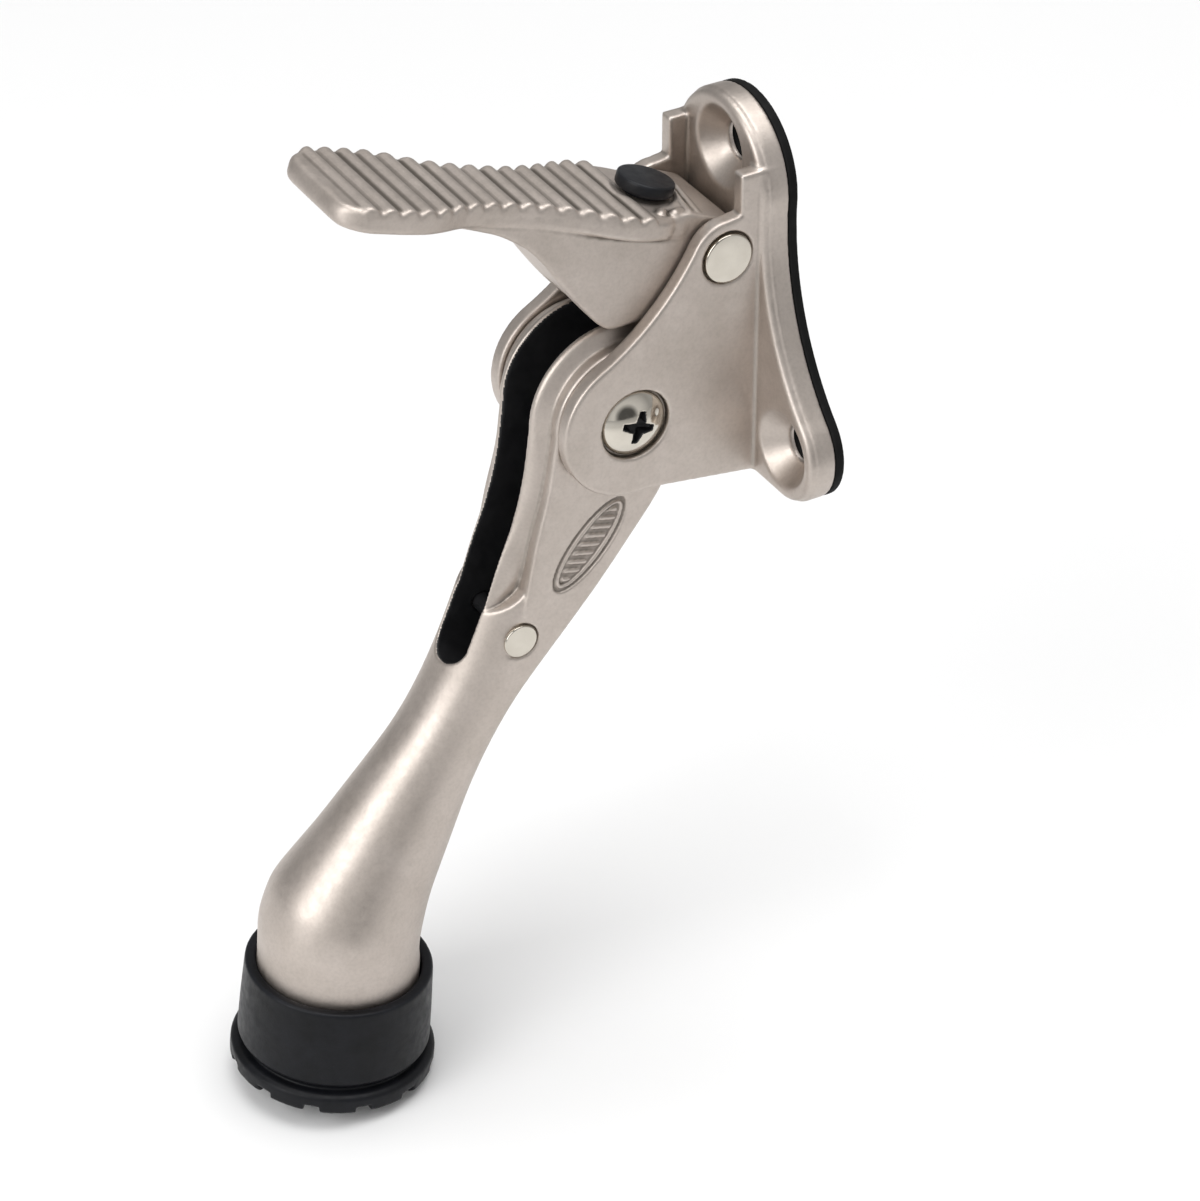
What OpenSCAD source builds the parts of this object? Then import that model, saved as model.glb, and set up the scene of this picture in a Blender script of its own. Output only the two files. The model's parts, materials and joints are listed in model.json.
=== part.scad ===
// Kick-down door holder with a foot release pedal.
// The door face is the plane X = 0, the holder stands out along +X, and +Z is up.
// Y = 0 is the mid-plane, and Z = 0 is the height of the two lower screw holes.

/* [Base plate] */
// Thickness of the cast plate
plate_t = 4.2; // [3.5:0.1:6]
// Thickness of the rubber gasket behind it
gasket_t = 1.5; // [1:0.1:3]
// Half the distance between the two lower screw holes
hole_y = 18.5; // [18:0.1:20]
// Height of the top screw hole above the lower ones
top_hole_z = 41; // [40:0.1:44]
// Radius of the screw clearance holes
screw_hole_r = 2.9; // [2:0.1:3.2]
// Radius of the countersinks at the front face
sink_r = 6.1; // [5:0.1:6.4]

/* [Cheeks] */
// Width over the two cheeks
cheek_w = 22.4; // [22:0.1:24]
// Thickness of each cheek
cheek_t = 2.6; // [2.4:0.1:3]
// Radius of the round cheek lobe about the main pivot
lobe_r = 11.6; // [11:0.1:12]

/* [Arm] */
// Width over the arm's flat sides
arm_w = 16.6; // [16:0.1:16.8]
// Radius of the arm's slotted rim about the main pivot
rim_r = 13.6; // [13:0.1:14]
// Half the width of the spring slot
slot_half = 3.8; // [3:0.1:4]
// Radius of the round end that carries the rubber tip
bulb_r = 12.5; // [12:0.1:12.8]

/* [Rubber tip] */
// Height of the tip from rim to tread
tip_h = 18.3; // [17:0.1:20]
// Outside radius at the rim
tip_r = 14.4; // [14.2:0.1:15]
// Outside radius of the flange
flange_r = 15.8; // [15.4:0.1:17]
// Number of tread notches
notches = 12; // [6:1:16]

/* [Pedal] */
// Number of ribs across the pedal
ribs = 16; // [10:1:16]
// Slope of the pedal's top in degrees
pedal_slope = 17.8; // [15:0.1:20]
// Half the width of the outer pad
pad_half = 10.4; // [9:0.1:11]
// Half the width of the waist behind the pad
waist_half = 6.6; // [6:0.1:8]

/* [Hidden] */
$fn = 96;

eps = 0.01;
// Arcs that blend into each other cross by this much, so that no edge is only tangent
bite = 0.02;
nickel = [0.72, 0.68, 0.63];
polished = [0.80, 0.78, 0.74];
black_rubber = [0.09, 0.09, 0.10];
steel = [0.62, 0.62, 0.62];

// Base plate outline: one top lobe, two lower lobes and hollow flanks tangent to them
top_lobe_z = 36.8;
top_lobe_r = 12.3;
low_lobe_r = 8.2;
flank_r = 40;
// The plate's front face is drawn in from its back edge, as a cast part is drafted
edge_draw = 0.9;
edge_t = 1.7;

// Main pivot and pedal pivot
pivot_x = gasket_t + plate_t + 20;
pivot_z = 6.5;
rivet_dx = -14.9;
rivet_dz = 23.2;
cheek_in = cheek_w / 2 - cheek_t;
shoulder_r = 5.8;
saddle_r = 40;

// Hardware at the main pivot
shank_r = 2.5;
head_r = 5.2;
head_h = 1.9;
head_seat = 1.3;
bush_r = 3.6;
washer_t = 1.0;
washer_r = 6.4;
nut_r = 4.6;
nut_h = 3.2;
run_gap = 0.06;

// Hardware at the pedal pivot
rivet_r = 2.4;
rivet_head_r = 3.8;
pedal_half = 8.2;
pedal_hub_r = 4.6;

// Torsion spring on the bush: one leg pushes the arm's pin, the other the pedal's nose
pin_r = 1.4;
pin_dx = 17.6;
pin_dz = -33.5;
wire_r = 0.55;
leg_r = 0.48;
coil_r = 4.6;
turns = 5;
coil_pitch = 1.0;
nose_x = -2.7;
nose_z = 17;

// Arm layers, from the flat sides in to the slot lips
arm_half = arm_w / 2;
mid_half = 6.6;
lip_half = slot_half + 0.8;

// Rubber tip position: centre of its rim, and its tilt
tip_dx = 45.5;
tip_dz = -88;
tip_tilt = 6.5;
mouth_r = bulb_r + 0.1;
flange_t = 3.7;
groove_r = tip_r - 0.2;

// Pedal: the rib line starts at its inner end and rises outwards
rib_pitch = 3.03;
rib_r = 0.95;
rib_dx = -4.2;
rib_dz = 31.3;
pad_t = 3.3;

// Frames of reference

// Moves children to the main pivot
module at_pivot() {
  translate([pivot_x, 0, pivot_z]) children();
}

// Moves children to the pedal pivot
module at_rivet() {
  at_pivot() translate([rivet_dx, 0, rivet_dz]) children();
}

// Extrudes an outline drawn in X and Z to both sides of the mid-plane
module side_slab(half) {
  rotate([90, 0, 0]) linear_extrude(2 * half, center = true) children();
}

// Extrudes an outline drawn in Y and Z outwards from the door
module door_slab(t) {
  rotate([90, 0, 90]) linear_extrude(t) children();
}

// A cylinder along Y from y0 to y1
module y_cyl(r, y0, y1) {
  translate([0, y0, 0]) rotate([-90, 0, 0]) cylinder(r = r, h = y1 - y0);
}

// Puts children on the axis of the rubber tip, with Z = 0 at its rim
module on_tip_axis() {
  at_pivot() translate([tip_dx, 0, tip_dz]) rotate([0, -tip_tilt, 0]) children();
}

// Puts children on the pedal's top line, with X along it
module on_pedal_top() {
  at_pivot() translate([rib_dx, 0, rib_dz]) rotate([0, -pedal_slope, 0]) children();
}

// Base bracket

// Distance from the first of two circles' centres, span apart, to the foot of the point a and b away from them
function along(a, b, span) = (a * a - b * b + span * span) / (2 * span);

module plate_outline(inset) {
  ra = top_lobe_r - inset;
  rb = low_lobe_r - inset;
  rc = flank_r + inset;
  span = sqrt(hole_y * hole_y + top_lobe_z * top_lobe_z);
  d = along(ra + rc, rb + rc, span);
  h = sqrt((ra + rc) * (ra + rc) - d * d);
  cy = (hole_y * d + top_lobe_z * h) / span;
  cz = top_lobe_z + (hole_y * h - top_lobe_z * d) / span;
  translate([0, top_lobe_z]) circle(r = ra, $fn = 180);
  for (s = [-1, 1]) translate([s * hole_y, 0]) circle(r = rb, $fn = 180);
  translate([-hole_y, bite - rb]) square([2 * hole_y, rb + 1]);
  difference() {
    polygon([[-hole_y, 0], [hole_y, 0], [cy, cz], [0, top_lobe_z], [-cy, cz]]);
    for (s = [-1, 1]) translate([s * cy, cz]) circle(r = rc + bite, $fn = 360);
  }
}

module screw_places() {
  for (p = [[0, top_hole_z], [-hole_y, 0], [hole_y, 0]]) translate([0, p[0], p[1]]) rotate([0, 90, 0]) children();
}

// Side outline of one cheek, drawn about the main pivot
module cheek_outline() {
  rs = lobe_r + saddle_r;
  rt = shoulder_r + saddle_r;
  span = sqrt(rivet_dx * rivet_dx + rivet_dz * rivet_dz);
  d = along(rs, rt, span);
  h = sqrt(rs * rs - d * d);
  ux = rivet_dx / span;
  uz = rivet_dz / span;
  cx = ux * d + uz * h;
  cz = uz * d - ux * h;
  back = -20 - eps;
  circle(r = lobe_r, $fn = 180);
  translate([rivet_dx, rivet_dz]) circle(r = shoulder_r);
  difference() {
    polygon([[0, 0], [cx, cz], [rivet_dx, rivet_dz]]);
    translate([cx, cz]) circle(r = saddle_r + bite, $fn = 360);
  }
  polygon([[back, -14], [-1.9, -11.4], [0, 0], [rivet_dx, rivet_dz], [rivet_dx, 29], [-17, 29.2],
    [-17, 35.6], [back, 35.6]]);
}

module base_bracket() {
  color(nickel) difference() {
    union() {
      translate([gasket_t, 0, 0]) door_slab(plate_t - edge_t) plate_outline(0);
      translate([gasket_t, 0, 0]) door_slab(plate_t) plate_outline(edge_draw);
      at_pivot() for (s = [-1, 1]) {
        translate([0, s * (cheek_w - cheek_t) / 2, 0]) side_slab(cheek_t / 2) cheek_outline();
      }
    }
    translate([gasket_t, 0, 0]) screw_places() {
      translate([0, 0, -eps]) cylinder(r = screw_hole_r, h = plate_t + 2 * eps);
      translate([0, 0, plate_t - (sink_r - screw_hole_r)])
        cylinder(r1 = screw_hole_r, r2 = sink_r, h = sink_r - screw_hole_r + eps);
    }
    at_pivot() y_cyl(shank_r + run_gap, -cheek_w, cheek_w);
    at_pivot() y_cyl(head_r + 0.35, cheek_w / 2 - head_seat, cheek_w);
    at_rivet() y_cyl(rivet_r + 0.02, -cheek_w, cheek_w);
    at_rivet() y_cyl(rivet_head_r + 0.3, cheek_w / 2 - 0.7, cheek_w);
  }
}

module door_gasket() {
  color(black_rubber) difference() {
    door_slab(gasket_t) plate_outline(0);
    screw_places() translate([0, 0, -eps]) cylinder(r = screw_hole_r + 0.4, h = gasket_t + 2 * eps);
  }
}

// Arm

// Back edge of the arm's middle layers, from the bulb up to the hub
arm_back = [[33.5, -84], [32.3, -81], [30.6, -76], [28.1, -70.4], [25.8, -64.5], [23.8, -58], [21.4, -51.7],
  [18, -44.8], [9, -33.5], [0, -21.8], [-6.3, -13.8]];
// Back edge of its flat side, drawn in near the bulb, where the arm's corners are round
side_back = [[38, -84], [36, -79], [32.5, -73], [28.5, -65.5], [25.3, -58], [22, -51], [18, -44.8], [9, -33.5],
  [0, -21.8], [-6.3, -13.8]];

// Flat side of the arm
module arm_side() {
  circle(r = lobe_r - 0.3, $fn = 180);
  polygon(concat([[-9, -6.5], [11.3, 0], [12.1, -6.3], [14.5, -16.4], [16.4, -25.7], [18, -28.5], [21.2, -31.5],
    [23.4, -39], [29.2, -50.6], [38.8, -61.7], [48, -71], [51.5, -77], [52, -84]], side_back));
}

// Shoulder between the flat side and the slot lip
module arm_mid() {
  circle(r = rim_r - 1.1, $fn = 180);
  polygon(concat([[-9, -6.5], [12.5, 0], [13.6, -8], [16.6, -17.5], [21.9, -31.5], [27.6, -43.8],
    [35.3, -54.9], [45.3, -65.2], [53, -73], [55.2, -79], [55.5, -84]], arm_back));
}

// Lip of the slot, and the front of the arm below it
module arm_lip() {
  circle(r = rim_r, $fn = 180);
  polygon(concat([[-9, -6.5], [13.6, 0], [14.9, -8.65], [18.1, -18], [23.2, -31.5], [28.6, -43],
    [36.4, -54], [46.3, -64.2], [53.7, -71.6], [56.2, -76], [56.8, -84]], arm_back));
}

// Spring slot: round the coil, down to the pin, and open along the front of the arm
module spring_slot() {
  circle(r = coil_r + 1.2);
  polygon([[-6.6, 20], [-5.8, 0], [-5, -3.2], [14, -34.2], [17, -38.6], [21.4, -38.4],
    [25.8, -37], [40, -31], [24, 20]]);
}

module arm_bulb() {
  on_tip_axis() {
    intersection() {
      translate([0, 0, 1]) sphere(r = bulb_r);
      translate([0, 0, -3]) cylinder(r = bulb_r + 1, h = 20);
    }
    translate([0, 0, -3.5]) cylinder(r = bulb_r, h = 4.5);
    translate([0, 0, 1]) rotate([0, -13, 0]) cylinder(r1 = bulb_r - 0.05, r2 = 6.8, h = 27);
    translate([0, 0, -13]) cylinder(r = 9, h = 10);
    translate([0, 0, -13]) cylinder(r = 10.2, h = 2.5);
  }
}

module arm() {
  color(nickel) difference() {
    union() {
      at_pivot() side_slab(arm_half) arm_side();
      at_pivot() side_slab(mid_half) arm_mid();
      at_pivot() side_slab(lip_half) arm_lip();
      arm_bulb();
    }
    at_pivot() side_slab(slot_half) spring_slot();
    at_pivot() y_cyl(bush_r + run_gap, -cheek_w, cheek_w);
    at_pivot() for (s = [-1, 1]) {
      y_cyl(washer_r + 0.4, s > 0 ? arm_half - 0.8 : -cheek_w, s > 0 ? cheek_w : 0.8 - arm_half);
    }
    at_pivot() translate([pin_dx, 0, pin_dz]) y_cyl(pin_r + 0.01, -cheek_w, cheek_w);
    at_pivot() translate([pin_dx, 0, pin_dz]) y_cyl(2.9, arm_half - 0.6, cheek_w);
  }
}

module rubber_tip() {
  wall_low = -tip_h + flange_t;
  color(black_rubber) on_tip_axis() difference() {
    rotate_extrude($fn = 180) difference() {
      polygon([[0, -tip_h], [flange_r - 0.6, -tip_h], [flange_r, -tip_h + 0.6], [flange_r, wall_low],
        [groove_r, wall_low], [groove_r, wall_low + 1], [tip_r + 0.5, wall_low + 1.2], [tip_r, -0.6],
        [tip_r - 0.6, 0], [mouth_r, 0], [0, 0]]);
      polygon([[-1, -13.1], [10.3, -13.1], [10.3, -10.4], [9.1, -10.4], [9.1, -3.6], [mouth_r, -3.6],
        [mouth_r, 1], [-1, 1]]);
    }
    for (i = [0 : notches - 1]) rotate([0, 0, (i + 0.5) * 360 / notches]) {
      translate([flange_r - 3, -0.7, -tip_h - eps]) cube([4, 1.4, 1.3]);
    }
    translate([0, 0, -tip_h - eps]) difference() {
      cylinder(r = flange_r - 4, h = 0.8);
      cylinder(r = flange_r - 6, h = 0.8);
    }
  }
}

// Foot pedal

// Plan of the pedal: wide pad, waist and wide inner end, drawn in X and Y about the main pivot
module pedal_plan() {
  pad_x = 31;
  end_x = 45.2;
  corner = 5;
  for (s = [0, 1]) mirror([0, s]) {
    difference() {
      polygon([[-21, 0], [-21, pedal_half], [-7.5, pedal_half], [-6, 9.4], [1, 9.6], [8, 7.3], [13, waist_half],
        [21, waist_half + 0.2], [pad_x, pad_half], [end_x, pad_half], [end_x, 0]]);
      translate([end_x - corner, pad_half - corner]) difference() {
        square(corner + 1);
        circle(r = corner);
      }
    }
  }
}

// Side outline of the pad plate under the ribs, drawn along the pedal's top line
module pad_outline() {
  length = (ribs - 1) * rib_pitch + 5.4;
  translate([-1.5, -pad_t]) square([length - pad_t / 2 + 1.5, pad_t]);
  translate([length - pad_t / 2, -pad_t / 2]) circle(r = pad_t / 2);
}

// Side outline of the web below the pad, with its nose over the arm's rim
module web_outline() {
  polygon([[-17.5, 19.8], [-18, 26.3], [-16.4, 27.6], [-9.8, 30.4], [-6, 29.8], [25, 38.6], [25, 36.6],
    [19, 33.7], [14.6, 30.5], [12.4, 27.8], [11.2, 25.4], [7, 19.9], [4.2, 16.6], [2.4, 15.5],
    [0.6, 15.5], [-1.2, 16.4], [-5, 19.2], [-9.5, 19.3], [-12.5, 19.3]]);
  translate([rivet_dx, rivet_dz]) circle(r = pedal_hub_r);
}

module foot_pedal() {
  color(nickel) difference() {
    union() {
      intersection() {
        union() {
          on_pedal_top() side_slab(14) pad_outline();
          on_pedal_top() for (i = [0 : ribs - 1]) {
            translate([i * rib_pitch + 1, 0, -0.25]) y_cyl(rib_r, -14, 14);
          }
        }
        at_pivot() linear_extrude(60) pedal_plan();
      }
      intersection() {
        at_pivot() side_slab(pedal_half) web_outline();
        at_pivot() linear_extrude(60) pedal_plan();
      }
    }
    at_rivet() y_cyl(rivet_r + run_gap, -14, 14);
    at_pivot() side_slab(3.4) polygon([[-3.7, 10], [-3.7, 19.6], [-2.6, 20.6], [4.5, 20.6], [12, 17], [12, 10]]);
    on_pedal_top() translate([-3.2, 0, -4]) cylinder(r = 1.91, h = 10);
    on_pedal_top() translate([-3.2, 0, 0.3]) cylinder(r = 4.7, h = 10);
  }
}

module pedal_bumper() {
  color(black_rubber) on_pedal_top() translate([-3.2, 0, 0]) {
    translate([0, 0, 0.3]) cylinder(r = 3.2, h = 0.5);
    translate([0, 0, 0.8]) cylinder(r = 4.3, h = 1.9);
    translate([0, 0, -3.6]) cylinder(r = 1.9, h = 4);
  }
}

// Hardware

module pivot_screw() {
  seat = cheek_w / 2 - head_seat;
  dome_r = (head_r * head_r + head_h * head_h) / (2 * head_h);
  color(polished) at_pivot() difference() {
    union() {
      y_cyl(shank_r, -cheek_w / 2 - 2.6, seat + eps);
      intersection() {
        y_cyl(head_r, seat, seat + head_h + 0.5);
        translate([0, seat + 0.5 + head_h - dome_r, 0]) sphere(r = dome_r, $fn = 200);
      }
    }
    for (a = [0, 90]) rotate([0, a - 17, 0]) translate([-2.9, seat + 0.7, -0.6]) cube([5.8, 3, 1.2]);
  }
}

module pivot_nut() {
  color(steel) at_pivot() difference() {
    union() {
      translate([0, -cheek_w / 2 - nut_h, 0]) rotate([-90, 0, 0]) cylinder(r = nut_r, h = nut_h - 0.6, $fn = 6);
      y_cyl(nut_r + 0.6, -cheek_w / 2 - 0.9, -cheek_w / 2);
    }
    y_cyl(shank_r, -cheek_w, -cheek_w / 2 + eps);
  }
}

module pivot_bush() {
  color(steel) at_pivot() difference() {
    y_cyl(bush_r, -cheek_in, cheek_in);
    y_cyl(shank_r + 0.03, -cheek_w, cheek_w);
  }
}

module washer_ring() {
  difference() {
    y_cyl(washer_r, 0, washer_t);
    y_cyl(bush_r + 0.03, -1, washer_t + 1);
  }
}

module washer_right() {
  color("white") at_pivot() translate([0, cheek_in - washer_t, 0]) washer_ring();
}

module washer_left() {
  color("white") at_pivot() translate([0, -cheek_in, 0]) washer_ring();
}

module pedal_rivet() {
  seat = cheek_w / 2 - 0.7;
  color(polished) at_rivet() {
    y_cyl(rivet_r, -cheek_w / 2 - 1.2, seat);
    y_cyl(rivet_head_r, seat - eps, cheek_w / 2 + 0.3);
    y_cyl(rivet_head_r - 0.4, -cheek_w / 2 - 1.6, -cheek_w / 2 - 0.6);
  }
}

module rivet_washer() {
  color(steel) at_rivet() difference() {
    y_cyl(4.4, -cheek_w / 2 - 0.6, -cheek_w / 2);
    y_cyl(rivet_r, -cheek_w, 0);
  }
}

module spring_pin() {
  color(polished) at_pivot() translate([pin_dx, 0, pin_dz]) {
    y_cyl(pin_r, -arm_half, arm_half);
    y_cyl(2.65, arm_half - 0.6, arm_half);
  }
}

// A straight length of wire between two points drawn in X and Z, at height y
module wire(a, b, y) {
  d = b - a;
  translate([a[0], y, a[1]]) rotate([0, 90 - atan2(d[1], d[0]), 0]) cylinder(r = leg_r, h = norm(d));
  translate([b[0], y, b[1]]) sphere(r = leg_r + 0.02);
}

module main_spring() {
  pin = [pin_dx, pin_dz];
  span = norm(pin);
  u = pin / span;
  lean = (coil_r - pin_r - wire_r - 0.05) / span;
  n = [u[1] * sqrt(1 - lean * lean) + u[0] * lean, u[1] * lean - u[0] * sqrt(1 - lean * lean)];
  end_y = coil_pitch * (turns - 1) / 2;
  seat = pin + (pin_r + wire_r + 0.05) * n;
  color(steel) at_pivot() {
    rotate([90, 0, 0]) rotate_extrude() for (i = [0 : turns - 1]) {
      translate([coil_r, i * coil_pitch - end_y]) circle(r = wire_r, $fn = 24);
    }
    wire(coil_r * n, seat, -end_y);
    wire(seat, seat + 2.4 * u, -end_y);
    wire([-coil_r, 0], [nose_x, nose_z], end_y);
  }
}

base_bracket();
door_gasket();
arm();
rubber_tip();
foot_pedal();
pedal_bumper();
pivot_screw();
pivot_nut();
pivot_bush();
washer_right();
washer_left();
pedal_rivet();
rivet_washer();
spring_pin();
main_spring();
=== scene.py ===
"""Looks of a kick-down door holder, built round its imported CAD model.

Shapes are worked out in millimetres from the main pivot: x runs out from the door, y along the
pivot to the right cheek, and z up. Cast and moulded pieces are signed-distance shapes (negative
inside) that are turned into meshes; turned pieces are spun profiles.
"""

import json
import math

import bpy
import numpy as np
from mathutils import Matrix, Vector


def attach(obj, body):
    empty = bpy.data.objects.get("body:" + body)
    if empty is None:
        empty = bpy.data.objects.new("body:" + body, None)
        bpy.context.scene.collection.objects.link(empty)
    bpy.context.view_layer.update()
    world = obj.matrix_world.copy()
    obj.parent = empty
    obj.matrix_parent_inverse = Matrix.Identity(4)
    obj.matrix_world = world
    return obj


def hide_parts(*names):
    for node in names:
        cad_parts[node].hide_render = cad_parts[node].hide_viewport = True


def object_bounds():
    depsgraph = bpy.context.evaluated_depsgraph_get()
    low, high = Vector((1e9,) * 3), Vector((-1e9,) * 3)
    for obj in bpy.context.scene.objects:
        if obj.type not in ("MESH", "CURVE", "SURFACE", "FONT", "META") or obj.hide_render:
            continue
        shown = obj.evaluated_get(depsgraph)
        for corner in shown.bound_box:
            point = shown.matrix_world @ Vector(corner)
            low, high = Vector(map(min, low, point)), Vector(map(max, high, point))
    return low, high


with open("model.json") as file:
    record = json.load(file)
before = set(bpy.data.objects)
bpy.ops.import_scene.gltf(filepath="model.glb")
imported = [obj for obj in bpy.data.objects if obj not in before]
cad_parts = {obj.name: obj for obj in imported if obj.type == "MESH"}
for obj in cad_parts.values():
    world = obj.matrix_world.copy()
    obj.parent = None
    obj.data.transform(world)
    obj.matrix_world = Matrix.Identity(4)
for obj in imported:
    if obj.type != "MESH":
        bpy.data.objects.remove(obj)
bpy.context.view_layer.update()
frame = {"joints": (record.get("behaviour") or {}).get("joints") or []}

MM = 0.001
JOINT = {j["name"]: Vector(j["pos_m"]) for j in frame["joints"]}
PIVOT = JOINT["arm_swing"]
RIVET = (JOINT["pedal_tilt"] - PIVOT) / MM

# Base plate and cheeks: the plate's edge is lower than its face
GASKET_BACK, PLATE_BACK, EDGE_FRONT, PLATE_FRONT = -25.7, -24.2, -21.1, -20.0
HOLE_Y, HOLE_Z, TOP_HOLE_Z = 18.5, -6.5, 34.5
SCREW_HOLES = ((0, TOP_HOLE_Z), (-HOLE_Y, HOLE_Z), (HOLE_Y, HOLE_Z))
TOP_LOBE_Z, TOP_LOBE_R, LOW_LOBE_R, FLANK_R = 30.3, 12.3, 8.2, 40.0
SCREW_HOLE_R, SINK_R = 2.9, 6.1
CHEEK_Y, CHEEK_HALF_T = 9.9, 1.3
GAP_HALF = CHEEK_Y - CHEEK_HALF_T
LOBE_R, SHOULDER_R, SADDLE_R = 11.6, 5.8, 40.0

# Hardware: radii, thicknesses, and places along y
SCREW_R, HEAD_R, HEAD_SEAT, HEAD_T, DOME_T = 2.5, 5.2, 9.9, 2.4, 1.9
THREAD_START, THREAD_PITCH, THREAD_DEPTH = -8.6, 0.8, 0.16
RIVET_R, RIVET_HEAD_R, RIVET_SEAT = 2.4, 3.8, 10.5
BUSH_R, WASHER_R, WASHER_T = 3.6, 6.4, 1.0
PIN, PIN_R, PIN_HEAD_R, PIN_HEAD_T = (17.6, -33.5), 1.4, 2.65, 0.6
COIL_R, WIRE_R, COIL_TURNS = 4.6, 0.5, 4
BUMPER_R, BUMPER_STEM_R = 4.3, 1.88

# Arm: half thickness, radii of its pad and rim, lower ends of its pad and lip, washer recesses, and
# the slot with its end along SLOT_WAY
ARM_HALF, PAD_R, RIM_R = 8.3, 11.3, 13.6
PAD_END, LIP_END, WASHER_SEAT = -31, -36, 7.5
SLOT_HALF, SLOT_END, SLOT_WAY = 3.8, 42.4, (0.42, -0.907)
ARM_BACK = [(-11.3, 0), (-10.9, -3), (-9.6, -7.2), (-6.8, -14.2), (-0.5, -22.2), (4.2, -28.1), (9, -33.5),
            (14, -39.2), (18, -44.8), (21.5, -51.7), (23.8, -58.1), (25.8, -64.5), (28.1, -70.4),
            (30.7, -76.2), (32.3, -81.3), (33.3, -85.5), (33.1, -89.4), (35.7, -112)]
PAD_FRONT = [(11.2, 0), (12.1, -6.3), (12.9, -10.9), (14.5, -16.4), (16, -23.8), (17.2, -30)]
RIM_FRONT = [(13.6, 0), (14.7, -8.8), (17.4, -17.1), (20.9, -25), (23.5, -31.5), (26.1, -37.4),
             (29.1, -42.9), (32.7, -48.3), (37.2, -53.3), (42, -58.6), (46.7, -63.8), (51.1, -68.2),
             (54.5, -71.9), (56.2, -75.4), (57.4, -78.9), (57.7, -82.9), (58, -86.6), (58.4, -90),
             (60.9, -112)]
# The hollow at the pad's foot, from the pad's front edge out to the crest
HOLLOW = [(-60, -24), (16.1, -24), (16.4, -25.7), (17.2, -26.8), (18.5, -27.8), (19.8, -28.5), (21, -29),
          (23, -29.5), (40, -33), (60, -34), (60, 30), (-60, 30)]
# Along the lower arm, by ARM_WAY: place, half width, and radius of its front and back corners
ARM_WAY = (0.542, -0.84)
ARM_SECTIONS = [(20, 8.3, 7.5, 1.1), (36, 8.3, 7.5, 1.3), (42, 8.2, 7.5, 1.7), (47, 8.0, 7.4, 2.3),
                (53, 7.8, 7.4, 3.2), (58, 7.7, 7.4, 4.2), (63, 7.85, 7.8, 5.8), (68, 8.3, 8.2, 7.4),
                (74, 9.1, 9.0, 8.8), (80, 10.1, 10.1, 10.0), (85, 11.1, 11.1, 11.1), (89, 12.0, 12.0, 12.0),
                (92.5, 12.45, 12.45, 12.45), (110, 12.5, 12.5, 12.5)]

# Rubber tip: centre of its rim, the tilt of its axis, and the arm's stem in it, down that axis
TIP = Vector((45.5, 0, -88))
TIP_TILT = math.radians(-6.5)
STEM_R, STEM_HEAD_R, STEM_START, STEM_HEAD, STEM_END = 9, 10.2, -3.5, -10.5, -13
TIP_H, FLANGE_R, NOTCHES = 18.3, 15.8, 12
NOTCH_HALF, NOTCH_DEPTH, TREAD_DEPTH = 1.25, 1.6, 0.8

# Badge: its centre in x and z, half length, half width and depth, and how its axes run
BADGE, BADGE_LONG, BADGE_WIDE, BADGE_DEPTH = (6.0, -20.3), 8.6, 3.3, 0.42
BADGE_WAY, BADGE_SIDE = (-0.661, 0.75), (0.75, 0.661)

# Pedal: the rib line starts at RIB_START and rises outwards
RIB_START = Vector((-4.2, 0, 31.3))
PEDAL_SLOPE = math.radians(-17.8)
RIBS, RIB_FIRST, RIB_PITCH, RIB_R, RIB_SINK = 16, 1, 3.03, 1.35, 0.75
PAD_T, PEDAL_END, BUMPER_S = 3.3, 50.7, -3.2
# Two low ridges behind the bumper, and two lumps: ends as (out, across, up) from RIB_START, and radius
RIDGES = [((-6.7, 7.2, 0.55), (-8.7, -3, 0.9), 0.42), ((-8.4, 6.8, 0.4), (-10.2, -3, 0.65), 0.42),
          ((-5.4, 6.6, 0.1), (-4.4, 7.1, 0.1), 0.8), ((-2.9, 6.0, -0.1), (-2.2, 7.0, -0.1), 0.7)]

# Studio, in metres: floor half size, and how far out along its own axes it fades
FLOOR_HALF, FADE_ACROSS, FADE_AHEAD = 1.2, (0.24, 0.38), (0.17, 0.34)
# Greys of the world from the object's left (0) to its right (1), and overhead
WORLD_SIDES = ((0, 0.32), (0.275, 0.38), (0.5, 0.62), (0.8, 0.4), (0.95, 0.8), (0.98, 0.1))
WORLD_ABOVE = 0.38
# Name, direction, roll in degrees, distance, size and watts
LAMPS = [("key", (0.83, 0.18, 0.52), -20, 0.7, (0.38, 0.7), 3.0),
         ("top", (-0.15, 0.0, 1.0), 0, 1.5, (1.4, 1.4), 19.0)]

# Camera: degrees round from the front and above level, its place from the pivot, and its lens
CAMERA_ROUND, CAMERA_ABOVE, CAMERA_PLACE, CAMERA_LENS = 60, 35, (245.7, 426.4, 307.3), 120


# Distances -----------------------------------------------------------------------------------


def both(a, b, r):
    """Where two shapes overlap, with the edge rounded to r."""
    u, v = a + r, b + r
    return np.minimum(np.maximum(u, v), 0) + np.hypot(np.maximum(u, 0), np.maximum(v, 0)) - r


def either(a, b, r):
    """Two shapes joined, with a fillet of r."""
    return -both(-a, -b, r)


def cut(a, b, r):
    """Shape a without shape b, with the edge rounded to r."""
    return both(a, -b, r)


def layer(v, low, high):
    """Distance from the layer where v is between low and high."""
    return np.abs(v - (low + high) / 2) - (high - low) / 2


def rod(place, end, start, r):
    """Distance from a round-ended rod, from three coordinates in the axes of its ends."""
    way = np.array(start) - np.array(end)
    offset = [p - e for p, e in zip(place, end)]
    along = np.clip(sum(o * w for o, w in zip(offset, way)) / (way @ way), 0, 1)
    return np.sqrt(sum((o - along * w) ** 2 for o, w in zip(offset, way))) - r


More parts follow.
